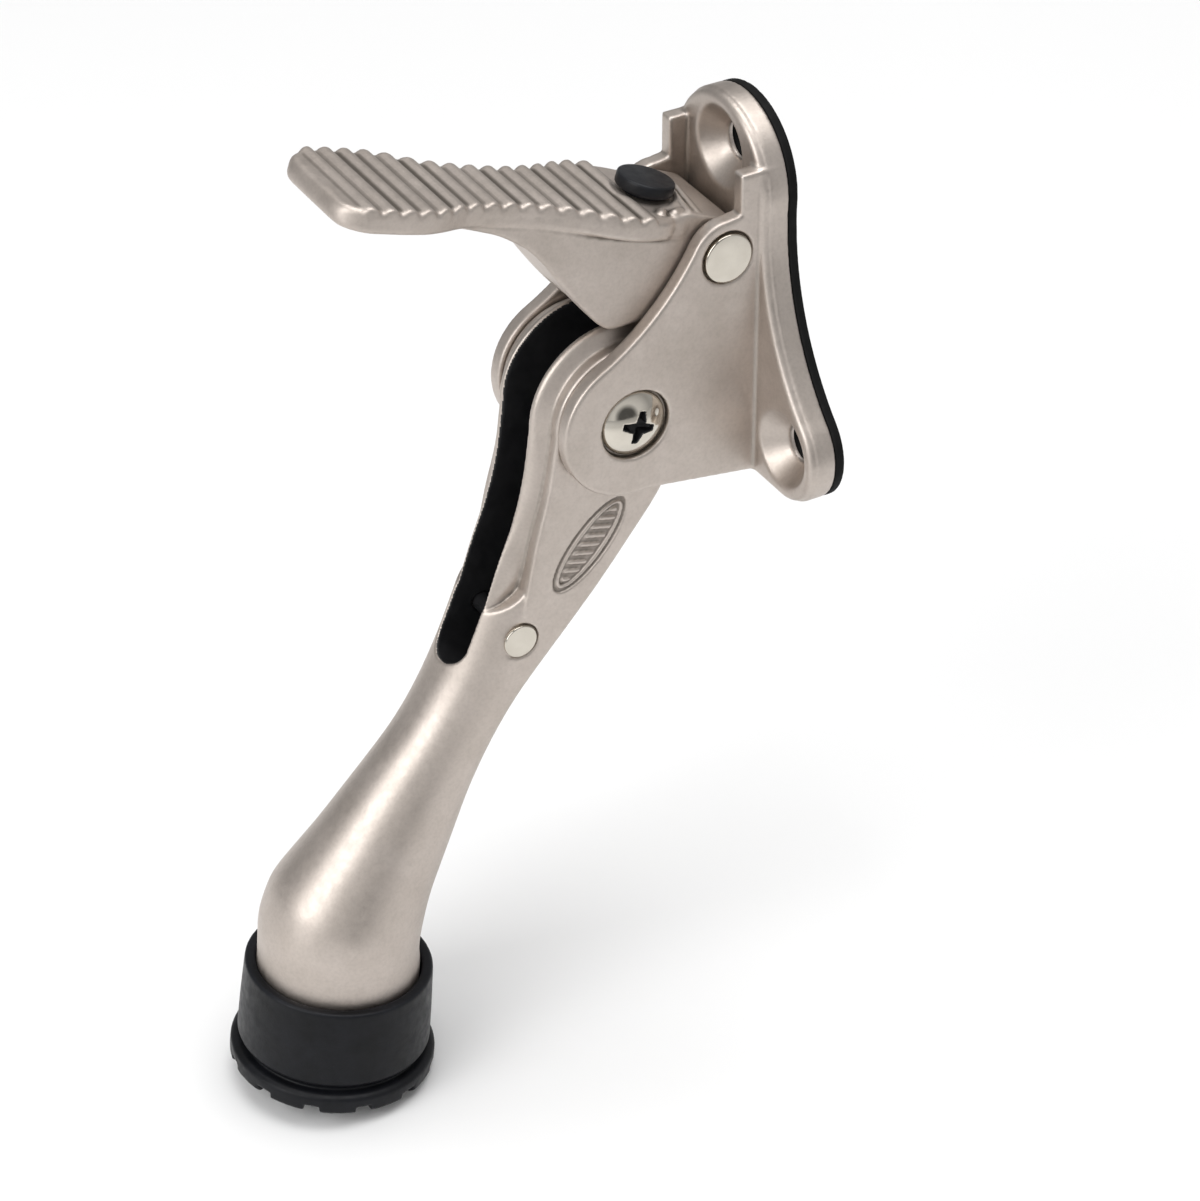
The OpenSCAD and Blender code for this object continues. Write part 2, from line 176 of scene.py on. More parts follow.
def outline(points, a, b):
    """Distance from a closed outline in the plane of a and b."""
    p = np.array(points, np.float32)
    near = np.full(np.broadcast(a, b).shape, 1e9, np.float32)
    inside = np.zeros(near.shape, bool)
    for (a0, b0), (a1, b1) in zip(p, np.roll(p, -1, axis=0)):
        da, db = a1 - a0, b1 - b0
        t = np.clip(((a - a0) * da + (b - b0) * db) / max(da * da + db * db, 1e-9), 0, 1)
        near = np.minimum(near, (a - a0 - t * da) ** 2 + (b - b0 - t * db) ** 2)
        if b0 != b1:
            inside ^= ((b0 > b) != (b1 > b)) & (a < da * (b - b0) / db + a0)
    near = np.sqrt(near)
    return np.where(inside, -near, near)


def arc(centre, r, start, end, steps=24):
    """Points on an arc, from start to end in degrees."""
    angles = np.radians(np.linspace(start, end, steps))
    return [(centre[0] + r * math.cos(t), centre[1] + r * math.sin(t)) for t in angles]


def angle(a, b):
    """Direction from point a to point b in degrees."""
    return math.degrees(math.atan2(b[1] - a[1], b[0] - a[0]))


def meeting(p, rp, q, rq):
    """The point at distance rp from p and rq from q, to the left of the way from p to q."""
    p, q = np.array(p, float), np.array(q, float)
    span = np.linalg.norm(q - p)
    along = (rp * rp - rq * rq + span * span) / (2 * span)
    u = (q - p) / span
    return p + u * along + np.array([-u[1], u[0]]) * math.sqrt(rp * rp - along * along)


def smooth(points, passes=2):
    """Cuts the corners of a line, but not its ends, until it is a smooth curve."""
    p = np.array(points, float)
    for _ in range(passes):
        q = np.roll(p, -1, axis=0)
        cutting = np.stack([p * 0.75 + q * 0.25, p * 0.25 + q * 0.75], 1).reshape(-1, 2)
        p = np.vstack([p[:1], cutting[1:-3], p[-1:]])
    return [tuple(v) for v in p]


def profile_at(z, *stations):
    """A value that changes smoothly along z, from (z, value) stations."""
    stations = sorted(stations)
    line = np.array(smooth(stations, 3))
    return np.interp(z, line[:, 0], line[:, 1]).astype(np.float32)


class Grid:
    """A box of sample points, step apart."""

    def __init__(self, low, high, step):
        self.low = np.array(low, float)
        x, y, z = (np.arange(a, b + step, step, dtype=np.float32) for a, b in zip(low, high))
        self.x, self.y, self.z = x[:, None, None], y[None, :, None], z[None, None, :]
        self.across = np.abs(self.y)

    def whole(self, field):
        """A field at every sample point."""
        return np.broadcast_to(field, (self.x.size, self.y.size, self.z.size))


def local(grid, origin, tilt):
    """The grid's coordinates out and up along axes turned by tilt about y, from an origin."""
    dx, dz = grid.x - origin[0], grid.z - origin[2]
    c, s = math.cos(tilt), math.sin(tilt)
    return dx * c - dz * s, dx * s + dz * c


def reach_along(grid, way):
    """How far along a direction in the plane of x and z the samples are."""
    return grid.x * way[0] + grid.z * way[1]


def y_cylinder(grid, centre, r):
    """Distance from an endless cylinder along y."""
    return np.hypot(grid.x - centre[0], grid.z - centre[1]) - r


# Meshes --------------------------------------------------------------------------------------

CORNER_STEPS = 4


def spread(values, index):
    """Mean of the rows of values that share an index."""
    share = np.bincount(index)
    return np.stack([np.bincount(index, column) / share for column in values.T], 1)


def surface(field, low, step):
    """Vertices, quads and bend (1 / mm, above zero on edges, below in corners) where a field is zero."""
    cells, places = [], []
    for axis in range(3):
        first = [slice(None)] * 3
        second = [slice(None)] * 3
        first[axis], second[axis] = slice(0, -1), slice(1, None)
        a, b = field[tuple(first)], field[tuple(second)]
        edge = np.argwhere((a < 0) != (b < 0))
        fa, fb = a[tuple(edge.T)], b[tuple(edge.T)]
        place = edge.astype(float)
        place[:, axis] += fa / (fa - fb)
        ring = []
        for j, k in ((0, 0), (-1, 0), (-1, -1), (0, -1)):
            cell = edge.copy()
            cell[:, (axis + 1) % 3] += j
            cell[:, (axis + 2) % 3] += k
            ring.append(np.ravel_multi_index(cell.T, field.shape))
        ring = np.stack(ring, 1)
        ring[fa >= 0] = ring[fa >= 0][:, ::-1]
        cells.append(ring)
        places.append(np.repeat(place, 4, axis=0))
    cells, places = np.concatenate(cells), np.concatenate(places)
    _, index = np.unique(cells.ravel(), return_inverse=True)
    points = low + spread(places, index) * step
    faces = index.reshape(-1, 4)
    start, end = faces.ravel(), np.roll(faces, -1, axis=1).ravel()
    for _ in range(2):
        points = (points + spread(points[end], start)) / 2
    across = np.cross(points[faces[:, 2]] - points[faces[:, 0]], points[faces[:, 3]] - points[faces[:, 1]])
    normal = spread(np.repeat(across, 4, axis=0), start)
    normal /= np.linalg.norm(normal, axis=1)[:, None] + 1e-12
    bend = -2 * np.sum((spread(points[end], start) - points) * normal, axis=1) / step ** 2
    for _ in range(3):
        bend = (bend + spread(bend[end, None], start)[:, 0]) / 2
    return points, faces, bend


def add_mesh(name, points, faces, to_frame, body, material, nodes):
    """A piece of the object from points in millimetres, put in place by the matrix to_frame."""
    mesh = bpy.data.meshes.new(name)
    points = np.asarray(points, float)
    mesh.vertices.add(len(points))
    turn = np.array(to_frame)
    placed = (points @ turn[:3, :3].T + turn[:3, 3]) * MM + np.array(PIVOT)
    mesh.vertices.foreach_set("co", placed.astype(np.float32).ravel())
    if isinstance(faces, np.ndarray):
        counts = np.full(len(faces), faces.shape[1])
        corners = faces.ravel()
    else:
        counts = np.array([len(f) for f in faces])
        corners = np.concatenate([np.array(f) for f in faces])
    mesh.loops.add(len(corners))
    mesh.loops.foreach_set("vertex_index", corners.astype(np.int32))
    mesh.polygons.add(len(counts))
    mesh.polygons.foreach_set("loop_start", (np.cumsum(counts) - counts).astype(np.int32))
    mesh.update(calc_edges=True)
    mesh.validate()
    mesh.shade_smooth()
    piece = bpy.data.objects.new(name, mesh)
    bpy.context.scene.collection.objects.link(piece)
    mesh.materials.append(material)
    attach(piece, body)
    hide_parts(*nodes)
    return piece


def moulded(name, field, low, high, step, body, material, nodes, to_frame=Matrix.Identity(4)):
    """A cast or moulded piece: field(grid) gives its distances."""
    grid = Grid(low, high, step)
    points, faces, bend = surface(grid.whole(field(grid)), grid.low, step)
    piece = add_mesh(name, points, faces, to_frame, body, material, nodes)
    piece.data.attributes.new("bend", "FLOAT", "POINT").data.foreach_set("value", bend.astype(np.float32))
    return piece


def soften(points, r):
    """An outline with each corner rounded, starting r away from it."""
    p = np.array(points, float)
    out = []
    for before, corner, after in zip(np.roll(p, 1, axis=0), p, np.roll(p, -1, axis=0)):
        reach = min(r, np.linalg.norm(before - corner) * 0.45, np.linalg.norm(after - corner) * 0.45)
        a = corner + (before - corner) / np.linalg.norm(before - corner) * reach
        b = corner + (after - corner) / np.linalg.norm(after - corner) * reach
        for t in np.linspace(0, 1, CORNER_STEPS):
            out.append(tuple(a * (1 - t) ** 2 + corner * 2 * t * (1 - t) + b * t * t))
    return out


def turned(name, profile, r, to_frame, body, material, nodes, segments=96):
    """A piece spun about its own z: a solid from an open profile of (radius, height), else a ring."""
    solid = profile[0][0] == 0
    line = soften(profile, r)
    if solid:
        line = line[CORNER_STEPS:-CORNER_STEPS]
    angles = np.linspace(0, 2 * math.pi, segments, endpoint=False)
    points = [(q * math.cos(t), q * math.sin(t), h) for t in angles for q, h in line]
    n = len(line)
    faces = [
        (s * n + i, (s + 1) % segments * n + i, (s + 1) % segments * n + (i + 1) % n, s * n + (i + 1) % n)
        for s in range(segments) for i in range(n - solid)
    ]
    if solid:
        low, high = len(points), len(points) + 1
        points += [(0, 0, profile[0][1]), (0, 0, profile[-1][1])]
        faces += [(low, (s + 1) % segments * n, s * n) for s in range(segments)]
        faces += [(high, s * n + n - 1, (s + 1) % segments * n + n - 1) for s in range(segments)]
    return add_mesh(name, points, faces, to_frame, body, material, nodes)


def tube(name, path, r, body, material, nodes, sides=12):
    """A round wire along a path, closed at both ends."""
    path = np.array(path, float)
    along = np.gradient(path, axis=0)
    along /= np.linalg.norm(along, axis=1)[:, None]
    side = np.cross(along[0], [0.0, 1.0, 0.3])
    rings = []
    for p, t in zip(path, along):
        side = side - t * (side @ t)
        side /= np.linalg.norm(side)
        up = np.cross(t, side)
        for a in np.linspace(0, 2 * math.pi, sides, endpoint=False):
            rings.append(p + r * (side * math.cos(a) + up * math.sin(a)))
    faces = [
        (i * sides + k, i * sides + (k + 1) % sides, (i + 1) * sides + (k + 1) % sides, (i + 1) * sides + k)
        for i in range(len(path) - 1) for k in range(sides)
    ]
    faces.append(tuple(range(sides - 1, -1, -1)))
    last = (len(path) - 1) * sides
    faces.append(tuple(range(last, last + sides)))
    return add_mesh(name, rings, faces, Matrix.Identity(4), body, material, nodes)


def along_y(x=0.0, z=0.0):
    """Puts a turned piece's axis along y, with its heights as y."""
    return Matrix.Translation((x, 0, z)) @ Matrix.Rotation(math.radians(-90), 4, "X")


def on_tip():
    """Puts a piece on the arm's round end."""
    return Matrix.Translation(TIP) @ Matrix.Rotation(TIP_TILT, 4, "Y")


def on_pedal_top(s):
    """Puts a piece on the pedal's top, s along it."""
    slope = Matrix.Rotation(PEDAL_SLOPE, 4, "Y")
    return Matrix.Translation(RIB_START) @ slope @ Matrix.Translation((s, 0, 0))


# Materials -----------------------------------------------------------------------------------


class Shader:
    """A Principled material with small helpers to build its nodes."""

    def __init__(self, name, **values):
        self.material = bpy.data.materials.new(name)
        self.material.use_nodes = True
        self.nodes, self.links = self.material.node_tree.nodes, self.material.node_tree.links
        self.skin = next(n for n in self.nodes if n.type == "BSDF_PRINCIPLED")
        for socket, value in values.items():
            self.skin.inputs[socket.replace("_", " ")].default_value = value
        self.place = self.nodes.new("ShaderNodeTexCoord").outputs["Object"]

    def noise(self, size_mm, detail=2.0, rough=0.5):
        """Noise whose blobs are about size_mm across."""
        node = self.nodes.new("ShaderNodeTexNoise")
        node.inputs["Scale"].default_value = 1 / (size_mm * MM)
        node.inputs["Detail"].default_value = detail
        node.inputs["Roughness"].default_value = rough
        self.links.new(self.place, node.inputs["Vector"])
        return node.outputs["Fac"]

    def ramp(self, fac, *stops):
        """A colour or grey ramp from (place, colour) stops."""
        node = self.nodes.new("ShaderNodeValToRGB")
        ramp = node.color_ramp
        while len(ramp.elements) < len(stops):
            ramp.elements.new(0.5)
        for element, (place, value) in zip(ramp.elements, stops):
            element.position = place
            element.color = (*value, 1) if isinstance(value, tuple) else (value, value, value, 1)
        self.links.new(fac, node.inputs["Fac"])
        return node.outputs["Color"]

    def mix(self, fac, a, b, how="MIX"):
        """Colour a mixed with colour b by fac; each is a socket or a value."""
        node = self.nodes.new("ShaderNodeMix")
        node.data_type = "RGBA"
        node.blend_type = how
        for socket, value in (("Factor", fac), ("A", a), ("B", b)):
            found = [i for i in node.inputs if i.name == socket and i.type in ("VALUE", "RGBA")]
            target = found[0] if socket == "Factor" else found[-1]
            if isinstance(value, bpy.types.NodeSocket):
                self.links.new(value, target)
            else:
                target.default_value = value if socket == "Factor" else (*value, 1)
        return [o for o in node.outputs if o.type == "RGBA"][0]

    def bump(self, *layers):
        """Bump from (height, strength, depth in millimetres) layers."""
        normal = None
        for height, strength, depth in layers:
            node = self.nodes.new("ShaderNodeBump")
            node.inputs["Strength"].default_value = strength
            node.inputs["Distance"].default_value = depth * MM
            self.links.new(height, node.inputs["Height"])
            if normal is not None:
                self.links.new(normal, node.inputs["Normal"])
            normal = node.outputs["Normal"]
        self.links.new(normal, self.skin.inputs["Normal"])

    def bends(self, low, high):
        """White where the surface bends by high, black where it bends by low (1 / mm)."""
        node = self.nodes.new("ShaderNodeAttribute")
        node.attribute_name = "bend"
        scale = self.nodes.new("ShaderNodeMapRange")
        scale.inputs["From Min"].default_value = low
        scale.inputs["From Max"].default_value = high
        self.links.new(node.outputs["Fac"], scale.inputs["Value"])
        return scale.outputs["Result"]

    def link(self, output, socket):
        """Leads a node's output to the material's surface."""
        self.links.new(output, self.skin.inputs[socket])


def cast_nickel(name, shaded_bend, wear_and_highlight, rough):
    """Satin nickel plate on a grainy casting, with painted shade in corners from the given bend on, and
    edges mixed to a given colour as wear and as a painted highlight.
    """
    m = Shader(name, Metallic=1.0, Specular_IOR_Level=0.5)
    patches = m.noise(9, 4, 0.6)
    tone = m.ramp(patches, (0.3, (0.50, 0.445, 0.40)), (0.7, (0.57, 0.51, 0.465)))
    specks = m.ramp(m.noise(0.5, 2), (0.25, 0.92), (0.6, 1.0))
    tone = m.mix(1.0, tone, specks, "MULTIPLY")
    # Painted shade: corners and grooves that bend inwards are darkened towards dark brown.
    tone = m.mix(m.bends(shaded_bend, shaded_bend * 4 - 0.2), tone, (0.16, 0.14, 0.12))
    # Convex edges are mixed to the given colour, partly as wear and partly as a painted highlight.
    m.link(m.mix(m.bends(0.6, 2.2), tone, wear_and_highlight), "Base Color")
    m.link(m.ramp(m.noise(1.3, 5, 0.6), (0.3, rough - 0.05), (0.7, rough + 0.05)), "Roughness")
    m.bump((m.noise(0.32, 3, 0.6), 0.35, 0.04), (m.noise(2.6, 2), 0.25, 0.05))
    return m.material


def slot_shade():
    """Painted shade inside the slot: near black, as though the hollow lay in deep shadow."""
    m = Shader("slot_painted_shade", Metallic=0.0)
    tone = m.ramp(m.noise(4, 3), (0.3, (0.006, 0.006, 0.007)), (0.7, (0.014, 0.014, 0.015)))
    m.link(tone, "Base Color")
    m.link(m.ramp(m.noise(1.1, 3), (0.3, 0.38), (0.7, 0.55)), "Roughness")
    m.bump((m.noise(0.5, 3), 0.2, 0.04))
    return m.material


def polished_steel():
    """Nickel-plated hardware, bright with hairline scratches, with painted shade in its inner corners."""
    m = Shader("polished_plate", Metallic=1.0)
    tone = m.ramp(m.noise(3, 4), (0.3, (0.56, 0.52, 0.455)), (0.7, (0.64, 0.60, 0.53)))
    # Painted shade: inner corners are darkened almost to black.
    m.link(m.mix(m.bends(-0.3, -2.0), tone, (0.03, 0.025, 0.02)), "Base Color")
    m.link(m.ramp(m.noise(0.7, 5, 0.7), (0.3, 0.06), (0.7, 0.14)), "Roughness")
    m.bump((m.noise(0.9, 4, 0.7), 0.08, 0.03))
    return m.material


def zinc_steel():
    """Dull zinc plate, a little blue and patchy."""
    m = Shader("zinc_plate", Metallic=1.0)
    tone = m.ramp(m.noise(1.5, 4), (0.3, (0.45, 0.46, 0.48)), (0.7, (0.60, 0.60, 0.60)))
    m.link(tone, "Base Color")
    m.link(m.ramp(m.noise(0.6, 4), (0.3, 0.28), (0.7, 0.42)), "Roughness")
    m.bump((m.noise(0.5, 3), 0.2, 0.03))
    return m.material


def spring_steel():
    """Black oiled spring wire."""
    m = Shader("spring_wire", Metallic=0.9)
    tone = m.ramp(m.noise(1.2, 3), (0.3, (0.02, 0.02, 0.022)), (0.7, (0.05, 0.048, 0.046)))
    m.link(tone, "Base Color")
    m.link(m.ramp(m.noise(0.4, 3), (0.3, 0.35), (0.7, 0.5)), "Roughness")
    m.bump((m.noise(0.25, 2), 0.15, 0.02))
    return m.material


def nylon():
    """Natural nylon, slightly milky."""
    m = Shader("nylon_natural", Metallic=0.0, Subsurface_Weight=0.15)
    tone = m.ramp(m.noise(2, 3), (0.3, (0.62, 0.60, 0.54)), (0.7, (0.74, 0.72, 0.66)))
    m.link(tone, "Base Color")
    m.link(m.ramp(m.noise(0.5, 3), (0.3, 0.4), (0.7, 0.55)), "Roughness")
    m.bump((m.noise(0.3, 2), 0.15, 0.02))
    return m.material


def rubber(name, dark, light, rough, shine=0.3, grain_mm=0.35, depth=0.05):
    """Moulded black rubber with a fine matt grain and dust in it."""
    m = Shader(name, Metallic=0.0, Specular_IOR_Level=shine)
    tone = m.ramp(m.noise(5, 5, 0.65), (0.3, dark), (0.75, light))
    m.link(m.mix(m.bends(0.4, 1.6), tone, tuple(c * 1.8 for c in light)), "Base Color")
    m.link(m.ramp(m.noise(1.4, 4), (0.3, rough - 0.08), (0.7, rough + 0.08)), "Roughness")
    m.bump((m.noise(grain_mm, 3, 0.6), 0.35, depth), (m.noise(3.5, 2), 0.2, 0.08))
    return m.material


NICKEL = cast_nickel("satin_nickel", -0.17, (0.70, 0.65, 0.60), 0.45)
RIBBED_NICKEL = cast_nickel("satin_nickel_ribbed", -0.06, (0.47, 0.42, 0.38), 0.52)
SLOT_SHADE = slot_shade()
POLISHED = polished_steel()
ZINC = zinc_steel()
SPRING_STEEL = spring_steel()
NYLON = nylon()
GASKET = rubber("gasket_black", (0.003, 0.003, 0.003), (0.007, 0.007, 0.007), 0.7, 0.15)
BUMPER = rubber("bumper_black", (0.006, 0.0065, 0.008), (0.015, 0.016, 0.020), 0.42, 0.25, 0.25, 0.03)
TIP_RUBBER = rubber("tip_black", (0.003, 0.0033, 0.004), (0.008, 0.0087, 0.0115), 0.42, 0.18)


# Base bracket --------------------------------------------------------------------------------


def plate_outline():
    """The plate from the front: a top lobe and two lower lobes, joined by hollow flanks."""
    top, low = (0, TOP_LOBE_Z), (HOLE_Y, HOLE_Z)
    flank = meeting(top, TOP_LOBE_R + FLANK_R, low, LOW_LOBE_R + FLANK_R)
    at_low, at_top = angle(low, flank), angle(top, flank)
    right = arc(low, LOW_LOBE_R, -90, at_low) + arc(flank, FLANK_R, at_low + 180, at_top + 180)
    right += arc(top, TOP_LOBE_R, at_top, 90)
    return right + [(-y, z) for y, z in reversed(right[:-1])]


def cheek_outline():
    """A cheek from the side: lobes round the pivot and the rivet, and a tab up beside the pedal."""
    hub, rivet = (0, 0), (RIVET.x, RIVET.z)
    saddle = meeting(rivet, SHOULDER_R + SADDLE_R, hub, LOBE_R + SADDLE_R)
    at_hub, at_rivet = angle(hub, saddle), angle(rivet, saddle)
    tab = [(-17, 29.3), (-17, 35.6), (-23, 35.6)]
    return ([(-23, -14.4), (-20, -14)] + arc(hub, LOBE_R, -99, at_hub, 48)
            + arc(saddle, SADDLE_R, at_hub + 180, at_rivet + 180)
            + arc(rivet, SHOULDER_R, at_rivet, 92) + tab)


def bracket(g):
    """The plate with its countersunk holes, and the two cheeks with their bores and head wells."""
    plan = outline(plate_outline(), g.y, g.z)
    edge = both(plan, layer(g.x, PLATE_BACK, EDGE_FRONT), 0.25)
    face = both(plan + 0.3, layer(g.x, PLATE_BACK, PLATE_FRONT), 0.9)
    plate = np.minimum(edge, face)
    cheeks = both(outline(cheek_outline(), g.x, g.z), np.abs(g.across - CHEEK_Y) - CHEEK_HALF_T, 0.45)
    solid = either(plate, cheeks, 0.5)
    for y, z in SCREW_HOLES:
        rho = np.hypot(g.y - y, g.z - z)
        # A 90 degree countersink that stops widening just above the face
        cone = (rho - SINK_R - np.minimum(g.x - PLATE_FRONT, 0.3)) * math.sqrt(0.5)
        solid = cut(solid, np.minimum(cone, rho - SCREW_HOLE_R), 0.25)
    solid = np.maximum(solid, -y_cylinder(g, (0, 0), SCREW_R + 0.06))
    solid = np.maximum(solid, -y_cylinder(g, (RIVET.x, RIVET.z), RIVET_R + 0.02))
    head_well = both(y_cylinder(g, (0, 0), HEAD_R + 0.35), HEAD_SEAT - g.y, 0.1)
    rivet_well = both(y_cylinder(g, (RIVET.x, RIVET.z), RIVET_HEAD_R + 0.3), RIVET_SEAT - g.y, 0.1)
    return cut(cut(solid, head_well, 0.2), rivet_well, 0.2)


def gasket(g):
    """Rubber sheet with the plate's outline and holes."""
    sheet = both(outline(plate_outline(), g.y, g.z), layer(g.x, GASKET_BACK, PLATE_BACK), 0.25)
    for y, z in SCREW_HOLES:
        sheet = cut(sheet, np.hypot(g.y - y, g.z - z) - SCREW_HOLE_R - 0.4, 0.15)
    return sheet


# Arm -----------------------------------------------------------------------------------------


def behind(front, x, z):
    """Distance from everything behind a front edge."""
    return outline(smooth(front) + [(-80, front[-1][1]), (-80, front[0][1])], x, z)


def ahead(back, x, z):
    """Distance from everything ahead of a back edge."""
    return outline(smooth(back) + [(120, back[-1][1]), (120, back[0][1])], x, z)


def arm_slot(g):
    """The spring slot, open at the front, with a round lower end."""
    floor = [(-6.6, 24), (-5.8, 0), (-5, -3.2), (14, -34.2), (20, -44), (50, -50), (50, 24)]
    channel = np.hypot(g.y, np.maximum(reach_along(g, SLOT_WAY) - SLOT_END, 0)) - SLOT_HALF
    coil_room = np.maximum(y_cylinder(g, (0, 0), COIL_R + 1.2), g.across - SLOT_HALF)
    return np.minimum(np.maximum(outline(floor, g.x, g.z), channel), coil_room)


def badge(g):
    """Plain sunk panel on the arm's right side: an oval frame round slanted bars."""
    dx, dz = g.x - BADGE[0], g.z - BADGE[1]
    p, q = dx * BADGE_WAY[0] + dz * BADGE_WAY[1], dx * BADGE_SIDE[0] + dz * BADGE_SIDE[1]
    # The small numbers keep the middle of the oval from dividing by zero
    oval = np.hypot(p / BADGE_LONG, q / BADGE_WIDE) + 0.001
    edge = (oval - 1) * oval / np.hypot(p / BADGE_LONG ** 2, q / BADGE_WIDE ** 2 + 0.0001)
    slant, pitch = p + q * 0.5, 1.6
    bars = np.maximum(np.abs((slant + pitch / 2) % pitch - pitch / 2) - 0.36, edge + 1.75)
    raised = np.minimum(np.abs(edge + 0.95) - 0.28, bars)
    return np.maximum(np.maximum(edge, -raised), ARM_HALF - BADGE_DEPTH - g.y)


def arm_lip(g, rim_front, pad_front, back):
    """The lip on both sides of the slot, which leans out to the pad's foot."""
    reach = np.clip(np.minimum(np.maximum(pad_front, g.z), y_cylinder(g, (0, 0), PAD_R)), 0, 4)
    lean = profile_at(g.z, (-40, 0.05), (-26, 0.08), (-14, 0.25), (0, 0.62), (20, 0.66))
    foot = profile_at(g.z, (-40, 4.6), (-30, 4.7), (-26, 5.3), (-22, 5.8), (-12, 6.2), (0, 6.3), (20, 6.3))
    side = (g.across - foot + reach * lean) * 0.9
    crown = profile_at(g.z, (-40, 8.3), (-26, 8.2), (-17, 8.6), (0, 9), (20, 9))
    crown_r = profile_at(g.z, (-40, 7.5), (-26, 7.4), (-21, 5.8), (-17, 4.0), (-8, 2.0), (20, 1.0))
    edge_r = profile_at(g.z, (-40, 1.0), (-28, 1.1), (-22, 1.9), (-17, 2.9), (-8, 1.5), (0, 0.6),
                        (20, 0.45))
    lip = both(both(rim_front, g.across - crown, crown_r), side, edge_r)
    lip = np.maximum(np.maximum(lip, back), np.maximum(g.z, LIP_END - g.z))
    return np.minimum(lip, both(y_cylinder(g, (0, 0), RIM_R), side, 0.45))


def arm(g):
    """Slotted head with a pad on each side, and a lower arm that turns round and thick."""
    back = ahead(ARM_BACK, g.x, g.z)
    pad_front, rim_front = behind(PAD_FRONT, g.x, g.z), behind(RIM_FRONT, g.x, g.z)
    down = reach_along(g, ARM_WAY)
    half, front_r, back_r = (profile_at(down, *((c[0], c[i]) for c in ARM_SECTIONS)) for i in (1, 2, 3))
    side = g.across - half
    back_side = both(back, side, back_r)

    # Lower arm, cut off by the hollow that ends the pad
    hollow = outline(HOLLOW, g.x, g.z)
    lower = cut(np.maximum(both(rim_front, side, front_r), back_side), hollow, 0.3)
    # Flat pad beside the cheeks
    pad_side = g.across - ARM_HALF
    pad = both(pad_front, pad_side, 0.45)
    pad = np.maximum(np.maximum(pad, back_side), np.maximum(g.z, PAD_END - g.z))
    pad = np.minimum(pad, both(y_cylinder(g, (0, 0), PAD_R), pad_side, 0.45))
    lip = arm_lip(g, rim_front, pad_front, back)
    corner = np.maximum(either(lip, lower, 0.3), hollow)
    solid = np.minimum(np.minimum(either(pad, lip, 0.25), lower), corner)

    # Stem and head that the rubber tip is pushed over
    u, w = local(g, TIP, TIP_TILT)
    rho = np.hypot(u, g.y)
    solid = np.maximum(solid, STEM_START - w)
    solid = np.minimum(solid, np.maximum(rho - STEM_R, layer(w, STEM_END, STEM_START + 0.5)))
    solid = np.minimum(solid, np.maximum(rho - STEM_HEAD_R, layer(w, STEM_END, STEM_HEAD)))

    # Slot, bore, washer recesses, pin hole with its head's recess, and badge
    solid = cut(solid, arm_slot(g), 0.35)
    solid = np.maximum(solid, -y_cylinder(g, (0, 0), BUSH_R + 0.06))
    solid = np.maximum(solid, -np.maximum(y_cylinder(g, (0, 0), WASHER_R + 0.4), WASHER_SEAT - g.across))
    solid = np.maximum(solid, -y_cylinder(g, PIN, PIN_R + 0.01))
    pin_well = np.maximum(y_cylinder(g, PIN, PIN_HEAD_R + 0.27), ARM_HALF - PIN_HEAD_T - g.y)
    solid = cut(solid, pin_well, 0.15)
    return np.maximum(solid, -badge(g))


def shade_hollows(piece, field):
    """Gives the faces of a piece that lie in a field's hollow the near-black painted shade."""
    mesh = piece.data
    mesh.materials.append(SLOT_SHADE)
    centre = np.zeros(len(mesh.polygons) * 3)
    mesh.polygons.foreach_get("center", centre)
    centre = (centre.reshape(-1, 3) - np.array(PIVOT)) / MM

    class Spots:
        """The middles of the faces, read like a grid."""
        x, y, z = centre[:, 0], centre[:, 1], centre[:, 2]
        across = np.abs(centre[:, 1])

    mesh.polygons.foreach_set("material_index", (field(Spots) < 0.12).astype(np.int32))


# Rubber tip ----------------------------------------------------------------------------------


def rubber_tip(g):
    """A cup with a flange, and notches, a ring and spokes in its sole; its own z runs up its axis."""
    rho = np.hypot(g.x, g.y)
    # The outline is drawn r inside the cup, so its corners come out round
    r = 0.35
    play = r + 0.1
    section = [(0, -TIP_H + r), (FLANGE_R - 1.1, -TIP_H + r), (FLANGE_R - r, -TIP_H + 1.0),
               (FLANGE_R - r, -15.3), (FLANGE_R - 0.9, -14.95), (13.4, -14.95), (13.4, -13.7),
               (14.2, -13.2), (14.5, -12.8), (14.35, -7), (14.05, -r), (13.0, -r),
               (13.0, STEM_START - play), (STEM_R + play, STEM_START - play),
               (STEM_R + play, STEM_HEAD + play), (STEM_HEAD_R + play, STEM_HEAD + play),
               (STEM_HEAD_R + play, STEM_END - play), (0, STEM_END - play)]
    cup = outline(section, rho, g.z) - r
    turn = 2 * math.pi / NOTCHES
    fold = ((np.arctan2(g.y, g.x) - 0.11) % turn) - turn / 2
    u, v = rho * np.cos(fold), rho * np.sin(fold)
    notch = np.maximum(np.maximum(np.abs(v) - NOTCH_HALF, FLANGE_R - 3 - u), g.z + TIP_H - NOTCH_DEPTH)
    tread = g.z + TIP_H - TREAD_DEPTH
    ring = np.maximum(np.abs(rho - 10.2) - 1.1, tread)
    spoke = np.maximum(np.maximum(np.abs(v) - 0.5, np.abs(u - 6.4) - 2.2), tread)
    return cut(cut(cup, notch, 0.2), np.minimum(ring, spoke), 0.2)


# Foot pedal ----------------------------------------------------------------------------------


def pedal_plan():
    """Half-widths of the pedal along its top line, mirrored, with a rounded outer end."""
    right = [(-20, 8.2), (-4.4, 8.2), (-3.1, 9.2), (0.7, 10), (4, 10), (7, 9.2), (9.6, 8.2), (12.8, 7.3),
             (16, 6.65), (19.1, 6.5), (23.3, 6.6), (27.5, 7.05), (30.7, 7.9), (33.8, 9.25), (37, 10.2),
             (41, 10.4)]
    right = [(-20, 8.2)] + smooth(right)[1:] + arc((PEDAL_END - 5.6, 4.8), 5.6, 90, 0, 14)
    return right + [(s, -y) for s, y in reversed(right)]


